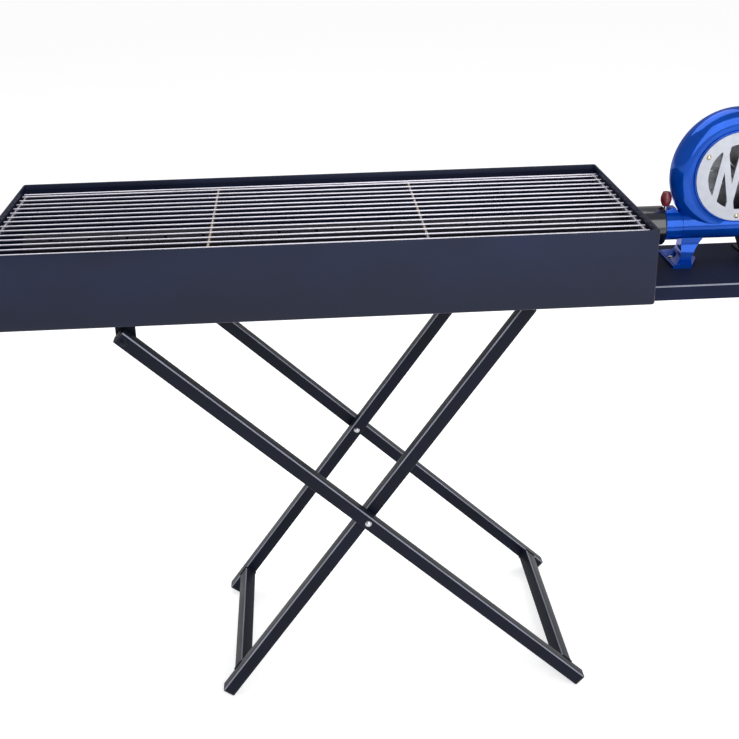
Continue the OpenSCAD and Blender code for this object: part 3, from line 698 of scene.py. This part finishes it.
class FORGE_OT_grate(bpy.types.Operator):
    """Grate: long wires and cross rods with rounded ends, spot-welded where they cross"""

    bl_idname = "forge.grate"
    bl_label = "Wire Grate"

    def execute(self, context):
        s = context.scene.forge_sizes
        low, high, mid = box_of("grate_bars")
        under_bars = low[2]
        radius = (high[2] - low[2]) / 2
        bar_ys = middles("grate_bars", 1)
        bars = [
            rod((low[0], y, mid[2]), (high[0], y, mid[2]), radius, 12, s.bar_bow, 2.4 * k)
            for k, y in enumerate(bar_ys)
        ]
        piece("grate_wires", bars, bright_wire(), "grate", ("grate_bars",), 50)

        low, high, mid = box_of("grate_cross_rods")
        radius = (high[2] - low[2]) / 2
        rod_xs = middles("grate_cross_rods", 0)
        rods = [rod((x, low[1], mid[2]), (x, high[1], mid[2]), radius, 16) for x in rod_xs]
        end = 0.9 * (high[0] - low[0]) / 2
        x, y = np.meshgrid(rod_xs, bar_ys)
        spots = np.stack([x, y, np.full_like(x, (high[2] + under_bars) / 2)], -1).reshape(-1, 3)
        welds = blob(spots, (2.1 * MM, 1.9 * MM, 1.1 * MM))
        for name, shells, node, angle in (
            ("grate_rods", rods, ("grate_cross_rods",), 50),
            ("grate_spot_welds", welds, (), 60),
        ):
            part = piece(name, shells, warm_rods(), "grate", node, angle)
            second(part, bright_wire(), lambda at, out: abs(at[:, 0] - mid[0]) > end)
        return {"FINISHED"}


class FORGE_OT_air_pipe(bpy.types.Operator):
    """Air pipe: a tube with a rounded end, welded to the tray's wall"""

    bl_idname = "forge.air_pipe"
    bl_label = "Air Pipe"

    def execute(self, context):
        s = context.scene.forge_sizes
        low, high, mid = box_of("air_pipe")
        radius, length = (high[2] - low[2]) / 2, high[0] - low[0]
        bore = radius - s.cast_wall
        edge = bend(90, 0, s.pipe_round, (length - s.pipe_round, radius - s.pipe_round), 6)
        edge = edge[edge[:, 1] > bore]
        section = np.concatenate([[[0, bore], [0, radius]], edge, [[length, bore]]])
        pipe = turned(section, (low[0], mid[1], mid[2]), X, s.around)
        paint = pipe_paint()
        piece("air_pipe_tube", [pipe], paint, "firebox", ("air_pipe",), 40, True)
        wall = box_of("fire_tray")[1][0]
        a = np.linspace(0, TURN, 12, endpoint=False)
        ring = np.stack([s.bead * np.cos(a), radius + s.bead * np.sin(a)], 1)
        bead = turned(ring, (wall, mid[1], mid[2]), X, s.around)
        piece("air_pipe_weld", [bead], tray_paint(), "firebox", (), 60, True)
        refinish(rubber(), "pipe_sleeve")
        return {"FINISHED"}


class FORGE_OT_shelf(bpy.types.Operator):
    """Blower shelf: an upturned sheet-metal pan bolted under the tray"""

    bl_idname = "forge.shelf"
    bl_label = "Blower Shelf"

    def execute(self, context):
        s = context.scene.forge_sizes
        low, high, mid = box_of("blower_shelf")
        z0, z1, bend_r, inner_r, burr = low[2], high[2], 3 * MM, 1.5 * MM, 0.5 * MM
        flat_margin, corner = 16 * MM, 4 * MM
        outer = bend(90, 180, bend_r, (bend_r, z1 - bend_r))
        inner = bend(180, 90, inner_r, (s.sheet + inner_r, z1 - s.sheet - inner_r))
        foot = [[0, z0 + burr], [burr, z0], [s.sheet - burr, z0], [s.sheet, z0 + burr]]
        start, stop = [[flat_margin, z1]], [[s.sheet + flat_margin, z1 - s.sheet]]
        rows = np.concatenate([start, outer, foot, inner, stop])
        section = np.column_stack([rows, 0 * rows[:, 0]])
        shell = pan(mid, (high - low)[:2] / 2, section, corner, (24, 14))
        paint = shelf_paint()
        part = piece("shelf_pan", [shell], paint, "firebox", ("blower_shelf",))

        # Painted highlight: the front bend's faces that look forwards and up get the pale colour,
        # as if the overhead light glinted on them
        def painted_highlight_bend(at, out):
            lean = 0.2
            return (out[:, 1] < -lean) & (out[:, 2] > lean) & (at[:, 2] > z1 - bend_r)

        second(part, edge_highlight_paint(), painted_highlight_bend)
        refinish(zinc_plate(), "shelf_bolts", "shelf_nuts", "foot_bolts", "foot_nuts")
        return {"FINISHED"}


def leg_axes():
    """The middle pivot, and the direction of each frame's legs towards their feet."""
    pivot, hinge = np.array(joint("inner_fold")["pos_m"]), np.array(joint("outer_fold")["pos_m"])
    outer = (pivot - hinge) / np.linalg.norm(pivot - hinge)
    slope = math.radians(joint("inner_fold")["range_deg"][1]) - math.acos(outer[0])
    inner = np.array([-math.cos(slope), 0, -math.sin(slope)])
    return pivot, {"outer": outer, "inner": inner}


class FORGE_OT_legs(bpy.types.Operator):
    """Folding legs: square tubes with rounded corners, welded cross bars and domed end caps"""

    bl_idname = "forge.legs"
    bl_label = "Folding Legs"

    def execute(self, context):
        s = context.scene.forge_sizes
        pivot, axes = leg_axes()
        # Painted highlight: the pale colour goes where a tube's normal leans by slant to both sides
        # and by these upwards, so only on the upper edges, where the overhead light would glint
        slant, leg_upward, bar_upward = 0.35, 0.2, 0.6
        for side, axis in axes.items():
            body = side + "_frame"
            square = np.cross(axis, Y)
            caps = []
            for end in ("front", "back"):
                node = f"{side}_leg_{end}"
                low, high, mid = box_of(node)
                half = (high[1] - low[1]) / 2
                near, far = reach(node, pivot, axis)
                base = np.array([pivot[0], mid[1], pivot[2]])
                start, stop = base + near * axis, base + far * axis
                tube = square_tube(start, stop, square, half, s.tube_corner)
                name = f"{side}_tube_{end}"
                part = piece(name, [tube], leg_paint(), body, (node,), 50)
                corners = lambda at, out: (abs(out[:, 1]) > slant) & (out[:, 2] > leg_upward)
                second(part, edge_highlight_paint(), corners)
                rim = np.array([[0, 0], [0, 0.5], [0.04, 0.72], [0.16, 0.9], [0.45, 1.0]])
                sizes = (half * (1 - rim[:, :1])).repeat(2, 1)
                loops = rect_loops(sizes, np.full(len(rim), s.tube_corner), 6)
                for way, edge in ((-1, near), (1, far)):
                    path = base + (edge + way * rim[:, 1:] * s.cap_dome) * axis
                    across, up = np.broadcast_to(Y, path.shape), np.broadcast_to(square, path.shape)
                    caps.append(swept(path, across, up, loops))
            node = f"{side}_end_caps"
            piece(f"{side}_caps", caps, black_plastic(), body, (node,), 40)
            low, high, mid = box_of(f"{side}_foot_bar")
            ends = [np.array([mid[0], y, mid[2]]) for y in (low[1], high[1])]
            bar = square_tube(*ends, square, half, s.tube_corner)
            beads = [bead_ring(p, axis, square, half, s.tube_corner, s.bead) for p in ends]
            node = f"{side}_foot_bar"
            part = piece(f"{side}_cross_bar", [bar], leg_paint(), body, (node,), 50)
            # Painted highlight on the cross bar: the pale colour goes on its upper diagonal faces,
            # where the overhead light would glint
            diagonal = lambda out: (abs(out @ axis) > slant) & (abs(out @ square) > slant)
            second(part, edge_highlight_paint(), lambda at, out: diagonal(out) & (out[:, 2] > bar_upward))
            piece(f"{side}_welds", beads, leg_paint(), body, (), 60, True)
        softened("hinge_ears", "hinge_lugs", 0.5 * MM, leg_paint(), "firebox")
        softened("leg_stops", "rest_brackets", 0.5 * MM, leg_paint(), "firebox")
        refinish(leg_paint(), "hinge_pins")
        refinish(zinc_plate(), "pivot_bolts", "pivot_washers", "pivot_nuts")
        return {"FINISHED"}


def scroll_half(s, facing):
    """One half of the scroll's casting, facing -1 towards the inlet or +1 towards the motor.

    A C-shaped section, an arc out and a smaller arc back, runs straight along the neck and then
    once round the blower's axis. A turned seat with rounded edges stands on it.
    """
    axis = np.array(joint("rotor_spin")["pos_m"])
    ring_r = box_of("volute_front")[1][0] - axis[0] - s.scroll_tube
    seam = box_of("damper_collar")[1][0] - axis[0]

    # Path: the neck from its seam, close together round the seam and its groove, then the ring
    groove_at, groove_depth = [0, 4, 5], 0.7 * MM
    seam_steps = np.array([0, 0.3, 0.6, 3.6, 3.9, 4.2, 4.5, 8]) * MM
    neck = np.concatenate([seam + seam_steps, np.linspace(seam + 14 * MM, 0, 16)])
    angle = np.radians(np.linspace(-90, 270, 145))[1:]
    ring = np.stack([np.cos(angle), 0 * angle, np.sin(angle)], 1)
    straight = np.stack([neck, 0 * neck, 0 * neck - ring_r], 1)
    path = np.concatenate([straight, ring_r * ring])
    radial = np.concatenate([np.repeat(-Z[None], len(neck), 0), ring])

    # Radius: grows from the neck's to the scroll's, and shrinks a little where the ring ends inside
    # the neck. along is 0 to 1 on the neck and 1 to 2 on the ring
    along = np.r_[(neck - seam) / -seam, 1 + np.arange(len(angle)) / len(angle)]
    radius = s.neck_radius + (s.scroll_tube - s.neck_radius) * np.clip(along, 0, 1)
    groove = np.zeros(len(path))
    groove[groove_at] = groove_depth
    radius = radius - groove - 1.2 * MM * np.clip((along - 1.86) / 0.12, 0, 1)

    # Section: closed towards the axis on the neck, open there on the ring; a small lip at the joint
    open_to = np.radians(180 - 68 * np.clip((along - 0.2) / 0.4, 0, 1))
    u = np.linspace(0, 1, 33)
    lip = 0.5 * MM * np.exp(-((u * 40) ** 2))
    joint_gap = 0.1 * MM
    phi = open_to[:, None] * u
    out_r, in_r = radius[:, None] - lip, radius[:, None] - s.cast_wall + 0 * u
    outward = np.concatenate([out_r * np.cos(phi), (in_r * np.cos(phi))[:, ::-1]], 1)
    sideways = np.concatenate([out_r * np.sin(phi), (in_r * np.sin(phi))[:, ::-1]], 1) + joint_gap
    section = np.stack([outward, facing * sideways], -1)
    sweep = swept(path + axis, radial, np.broadcast_to(Y, path.shape), section)

    # Seat: a turned ring from the inlet's or the shaft's hole out to the seat's rim
    low, high, _ = box_of("volute_front" if facing < 0 else "volute_rear")
    face, hole = (-low[1], s.eye_radius) if facing < 0 else (high[1], 14 * MM)
    edge, chamfer, wall, skirt = 1.4 * MM, 0.6 * MM, 2.4 * MM, 7 * MM
    rim = bend(90, 0, edge, (0, 0), 5)
    outer, inner = s.seat_radius, s.seat_radius - wall
    start = [[face - wall, hole], [face - chamfer, hole], [face, hole + chamfer]]
    profile = np.concatenate(
        [
            [*start, [face, outer - 2 * edge]],
            np.stack([face - edge + rim[:, 1], outer - edge + rim[:, 0]], 1),
            [[face - skirt, outer], [face - skirt, inner], [face - wall, inner]],
        ]
    )
    seat = turned(profile, axis, facing * Y, s.around * 3 // 2)
    return sweep, seat


class FORGE_OT_scroll(bpy.types.Operator):
    """Blower scroll: two cast halves, each a swept round section with its neck and a turned seat"""

    bl_idname = "forge.scroll"
    bl_label = "Blower Scroll"

    def execute(self, context):
        s = context.scene.forge_sizes
        halves = ("scroll_front", "volute_front", -1), ("scroll_rear", "volute_rear", 1)
        for name, node, facing in halves:
            sweep, seat = scroll_half(s, facing)
            mesh = grid_mesh(name, [sweep])
            ring = grid_mesh(name + "_seat", [seat], True)
            work = bmesh.new()
            work.from_mesh(mesh)
            work.from_mesh(ring)
            work.to_mesh(mesh)
            work.free()
            bpy.data.meshes.remove(ring)
            placed(name, cleaned(mesh, 40), blue_enamel(), "firebox", (node,))
        paint = blue_enamel()
        softened("blower_pedestal", "blower_foot", 1.2 * MM, paint, "firebox", 3)
        return {"FINISHED"}


class FORGE_OT_guard(bpy.types.Operator):
    """Inlet guard: a pressed ring with zig-zag ribs, held by three screws"""

    bl_idname = "forge.guard"
    bl_label = "Inlet Guard"

    def execute(self, context):
        softened("guard_ring", "inlet_guard", 0.6 * MM, guard_paint(), "firebox")
        refinish(yellow_passivation(), "guard_screws")
        return {"FINISHED"}


class FORGE_OT_throttle(bpy.types.Operator):
    """Air throttle: the cast collar, its spindle and disc, and the barrel-shaped knob"""

    bl_idname = "forge.throttle"
    bl_label = "Air Throttle"

    def execute(self, context):
        s = context.scene.forge_sizes
        paint = blue_enamel()
        softened("throttle_collar", "damper_collar", 0.8 * MM, paint, "firebox", 3)
        low, high, mid = box_of("damper_knob")
        height, radius = high[2] - low[2], (high[0] - low[0]) / 2
        # Barrel: u runs from foot to head, and the radius falls by taper * (2 u - 1) squared
        u, taper = np.linspace(0.07, 0.93, 15), 0.42
        barrel = np.stack([u * height, radius * (1 - taper * (2 * u - 1) ** 2)], 1)
        r = s.knob_round
        foot = bend(180, 118, r, (r, barrel[0, 1] - r * 0.9), 4)
        head = np.stack([height - foot[::-1, 0], foot[::-1, 1]], 1)
        start = [[0, 0], [0, foot[0, 1]]]
        profile = np.concatenate([start, foot, barrel, head, [[height, 0]]])
        knob = turned(profile, (mid[0], mid[1], low[2]), Z, s.around)
        piece("throttle_knob", [knob], red_plastic(), "damper", ("damper_knob",), 40)
        refinish(zinc_plate(), "damper_spindle", "damper_disc")
        return {"FINISHED"}


class FORGE_OT_motor(bpy.types.Operator):
    """Motor: ribbed housing between two bells, fan cover, terminal box, gland and stand"""

    bl_idname = "forge.motor"
    bl_label = "Motor"

    def execute(self, context):
        for name, node, width, slot, material in (
            ("motor_bracket", "motor_stand", 0.6, "leg_paint", leg_paint()),
            ("front_bell", "motor_front_bell", 0.8, "motor_cast", grey_casting()),
            ("rear_bell", "motor_rear_bell", 1.6, "motor_cast", grey_casting()),
            ("fan_cowl", "fan_cover", 1.0, "motor_plastic", black_plastic()),
            ("wiring_box", "terminal_box", 1.5, "motor_plastic", black_plastic()),
            ("cable_nut", "cable_gland", 0.6, "motor_plastic", black_plastic()),
        ):
            softened(name, node, width * MM, material, "firebox")
        refinish(grey_casting(), "motor_housing")
        refinish(windings(), "stator_core")
        refinish(zinc_plate(), "motor_screws", "shaft_bearings")
        return {"FINISHED"}


class FORGE_OT_rotor(bpy.types.Operator):
    """Rotor: shaft, core, bladed impeller with its nut, and the cooling fan"""

    bl_idname = "forge.rotor"
    bl_label = "Rotor"

    def execute(self, context):
        refinish(cast_alloy(), "impeller")
        refinish(zinc_plate(), "rotor_shaft", "rotor_core", "impeller_nut")
        refinish(black_plastic(), "cooling_fan")
        return {"FINISHED"}


# ---- Stage -------------------------------------------------------------------------------------


def area_light(name, place, target, width, height, power):
    """A soft box: a rectangular white light at a place, facing a target."""
    lamp = bpy.data.lights.new(name, "AREA")
    lamp.shape, lamp.size, lamp.size_y, lamp.energy = "RECTANGLE", width, height, power
    obj = bpy.data.objects.new(name, lamp)
    bpy.context.scene.collection.objects.link(obj)
    back = np.asarray(place, float) - np.asarray(target, float)
    back /= np.linalg.norm(back)
    side = np.cross(Z, back)
    side /= np.linalg.norm(side)
    pose = np.eye(4)
    pose[:3, :3] = np.stack([side, np.cross(back, side), back], 1)
    pose[:3, 3] = place
    obj.matrix_world = Matrix(pose.tolist())


class FORGE_OT_stage(bpy.types.Operator):
    """Stage: a plain pale floor, soft studio light and the camera"""

    bl_idname = "forge.stage"
    bl_label = "Stage"

    def execute(self, context):
        scene = context.scene
        st = scene.forge_stage
        mesh = bpy.data.meshes.new("floor")
        half = 40.0
        corners = [(-half, -half, 0), (half, -half, 0), (half, half, 0), (-half, half, 0)]
        mesh.from_pydata(corners, [], [(0, 1, 2, 3)])
        mesh.materials.append(floor_card())
        floor = bpy.data.objects.new("floor", mesh)
        scene.collection.objects.link(floor)
        world = bpy.data.worlds.new("studio")
        scene.world = world
        world.use_nodes = True
        sky = world.node_tree.nodes["Background"].inputs
        sky["Color"].default_value = srgb("#ffffff")
        sky["Strength"].default_value = 0.4
        scene.view_settings.view_transform = "Standard"
        legs, blower = (-0.05, 0, 0.6), (0.5, 0, 0.85)
        area_light("overhead_softbox", (-0.3, 0.6, 3.2), legs, 3.0, 2.0, 45)
        area_light("front_softbox", (0.9, -3.0, 2.1), blower, 2.6, 2.8, 60)
        p, yaw, roll = st.pitch, st.yaw, st.roll
        ahead = np.array([math.sin(yaw) * math.cos(p), math.cos(yaw) * math.cos(p), -math.sin(p)])
        level = np.array([math.cos(yaw), -math.sin(yaw), 0])
        above = np.cross(level, ahead)
        right = math.cos(roll) * level + math.sin(roll) * above
        above = -math.sin(roll) * level + math.cos(roll) * above
        place = np.eye(4)
        place[:3, :3] = np.stack([right, above, -ahead], 1)
        place[:3, 3] = (st.camera_x, st.camera_y, st.camera_z)
        camera = bpy.data.objects.new("camera", bpy.data.cameras.new("camera"))
        camera.data.sensor_width = 36
        camera.data.lens = st.lens
        camera.data.clip_end = 100
        scene.collection.objects.link(camera)
        camera.matrix_world = Matrix(place.tolist())
        scene.camera = camera
        return {"FINISHED"}


PIECES = (
    FORGE_OT_tray,
    FORGE_OT_grate,
    FORGE_OT_air_pipe,
    FORGE_OT_shelf,
    FORGE_OT_legs,
    FORGE_OT_scroll,
    FORGE_OT_guard,
    FORGE_OT_throttle,
    FORGE_OT_motor,
    FORGE_OT_rotor,
    FORGE_OT_stage,
)


class FORGE_PT_sidebar(bpy.types.Panel):
    """Lists the forge's pieces, sizes and colours"""

    bl_idname = "FORGE_PT_sidebar"
    bl_label = "Forge"
    bl_space_type = "VIEW_3D"
    bl_region_type = "UI"
    bl_category = "Forge"

    def draw(self, context):
        for operator in PIECES:
            self.layout.operator(operator.bl_idname)
        scene = context.scene
        for group in (scene.forge_sizes, scene.forge_colours, scene.forge_stage):
            column = self.layout.column(align=True)
            for key in group.__annotations__:
                column.prop(group, key)


GROUPS = (ForgeSizes, ForgeColours, ForgeStage)


def register():
    """Registers the classes and gives each scene the forge's settings."""
    for cls in (*GROUPS, *PIECES, FORGE_PT_sidebar):
        bpy.utils.register_class(cls)
    bpy.types.Scene.forge_sizes = PointerProperty(type=ForgeSizes)
    bpy.types.Scene.forge_colours = PointerProperty(type=ForgeColours)
    bpy.types.Scene.forge_stage = PointerProperty(type=ForgeStage)


def unregister():
    """Takes the settings and the classes away again."""
    del bpy.types.Scene.forge_sizes, bpy.types.Scene.forge_colours, bpy.types.Scene.forge_stage
    for cls in reversed((*GROUPS, *PIECES, FORGE_PT_sidebar)):
        bpy.utils.unregister_class(cls)


def main():
    """Builds every piece in order."""
    register()
    for operator in PIECES:
        group, name = operator.bl_idname.split(".")
        if getattr(getattr(bpy.ops, group), name)() != {"FINISHED"}:
            raise RuntimeError(f"{operator.bl_idname} did not finish")


if __name__ == "__main__":
    main()
